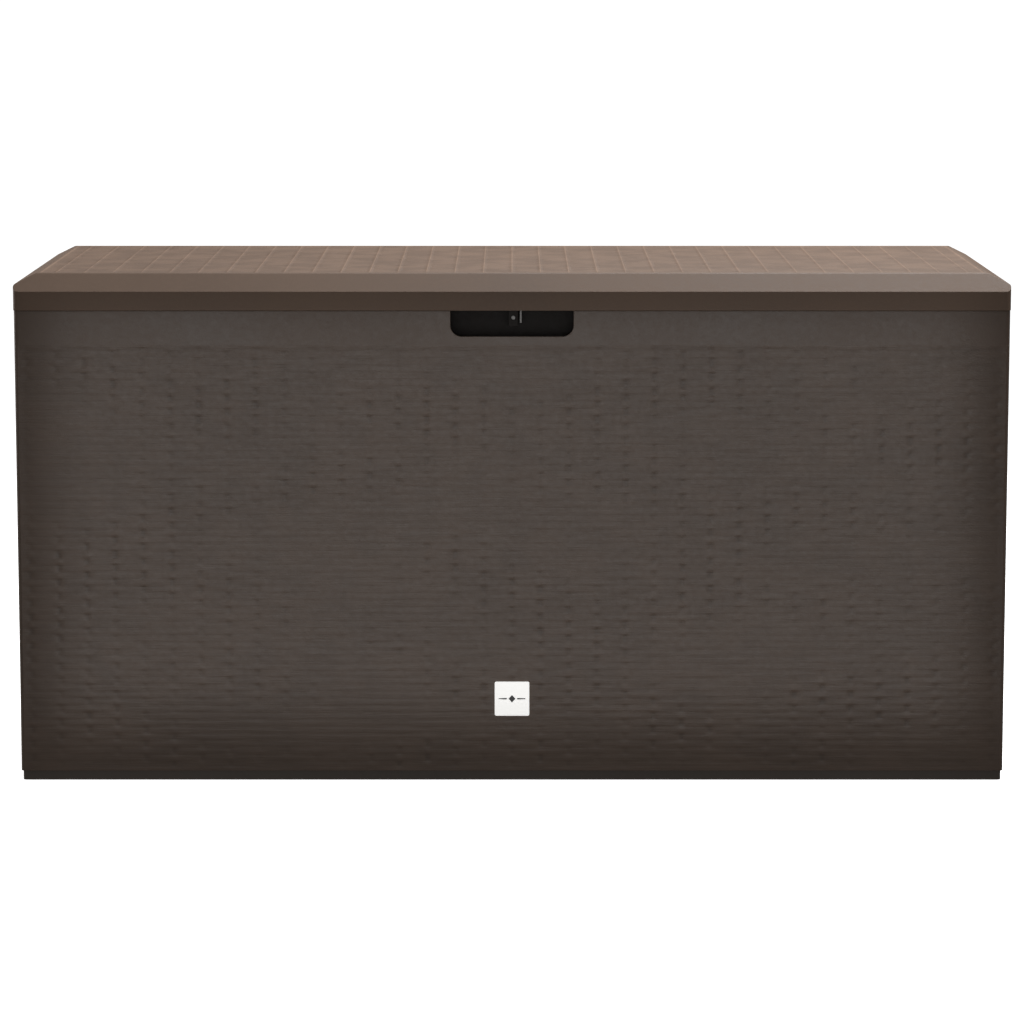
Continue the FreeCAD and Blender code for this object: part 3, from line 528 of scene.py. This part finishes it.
plaque_low, plaque_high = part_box("front_plaque")
mid_x = (plaque_low.x + plaque_high.x) / 2
mid_z = (plaque_low.z + plaque_high.z) / 2
diamond = [(mid_x + x * MM, mid_z + z * MM)
           for x, z in ((-4.0, 0), (0, -4.4), (4.0, 0), (0, 4.4))]
rules = [[(mid_x + side * x * MM, mid_z + z * MM) for x, z in
          ((6.0, 0.9 * side), (6.0, -0.9 * side), (15.5, -0.5 * side), (15.5, 0.5 * side))]
         for side in (-1, 1)]
ORNAMENT_PROUD = 0.08 * MM
ORNAMENT_SUNK = 0.20 * MM
inlay("plaque_ornament", [diamond] + rules, plaque_low.y - ORNAMENT_PROUD,
      plaque_low.y + ORNAMENT_SUNK)


# ---------------------------------------------------------------- studio

WORLD_SEEN = 1.05
WORLD_LIT = 0.205
FLOOR_HALF = 90.0
FLOOR_GLOW = 0.90
WHITE = (1.0, 1.0, 1.0, 1.0)


def area_light(name, location, target, width, height, power, spread=180.0):
    """White rectangular light, unseen by the camera, turned to its target."""
    data = bpy.data.lights.new(name, "AREA")
    data.shape = "RECTANGLE"
    data.size = width
    data.size_y = height
    data.energy = power
    data.spread = math.radians(spread)
    light = bpy.data.objects.new(name, data)
    light.location = location
    aim = Vector(target) - Vector(location)
    light.rotation_euler = aim.to_track_quat("-Z", "Y").to_euler()
    light.visible_camera = False
    bpy.context.scene.collection.objects.link(light)


def studio_world():
    """Even surround: white where the camera sees it, dim where it lights the object."""
    world = bpy.data.worlds.new("studio")
    world.use_nodes = True
    tree = world.node_tree
    tree.nodes.clear()
    output = tree.nodes.new("ShaderNodeOutputWorld")
    seen = tree.nodes.new("ShaderNodeBackground")
    seen.inputs["Color"].default_value = WHITE
    seen.inputs["Strength"].default_value = WORLD_SEEN
    lit = tree.nodes.new("ShaderNodeBackground")
    lit.inputs["Color"].default_value = WHITE
    lit.inputs["Strength"].default_value = WORLD_LIT
    paths = tree.nodes.new("ShaderNodeLightPath")
    mix = tree.nodes.new("ShaderNodeMixShader")
    tree.links.new(paths.outputs["Is Camera Ray"], mix.inputs["Fac"])
    tree.links.new(lit.outputs["Background"], mix.inputs[1])
    tree.links.new(seen.outputs["Background"], mix.inputs[2])
    tree.links.new(mix.outputs["Shader"], output.inputs["Surface"])
    bpy.context.scene.world = world


def studio_floor():
    """Pale, self-lit floor, slightly uneven in tone, that adds no bounce, reflection or shadow."""
    corners = [(x * FLOOR_HALF, y * FLOOR_HALF, 0)
               for x, y in ((-1, -1), (1, -1), (1, 1), (-1, 1))]
    mesh = bpy.data.meshes.new("floor")
    mesh.from_pydata(corners, [], [(0, 1, 2, 3)])
    floor = bpy.data.objects.new("floor", mesh)
    bpy.context.scene.collection.objects.link(floor)
    s = Shader("floor_paint", (0.9, 0.9, 0.9), 0.9, 0.1)
    cloud = s.noise(2.0, 2.0, 0.5, seed=4.0)
    s.set("Base Color", s.blend(s.ramp(cloud, 0.3, 0.7, 0.0, 1.0), (0.88, 0.88, 0.88),
                                (0.92, 0.92, 0.92)))
    s.bsdf.inputs["Emission Color"].default_value = WHITE
    s.bsdf.inputs["Emission Strength"].default_value = FLOOR_GLOW
    mesh.materials.append(s.material)
    floor.visible_diffuse = False
    floor.visible_glossy = False
    floor.visible_shadow = False


studio_world()
studio_floor()
area_light("overhead", (0.95, 0.65, 2.9), (0.1, 0.05, 0.5), 2.8, 1.5, 116.0)
area_light("front_box", (0.0, -0.43, 0.304), (0.0, -0.23, 0.304), 1.092, 0.508, 0.365, spread=60.0)
area_light("left_fill", (-2.2, 0.9, 0.9), (-0.57, 0.05, 0.3), 1.0, 0.8, 6.5, spread=80.0)
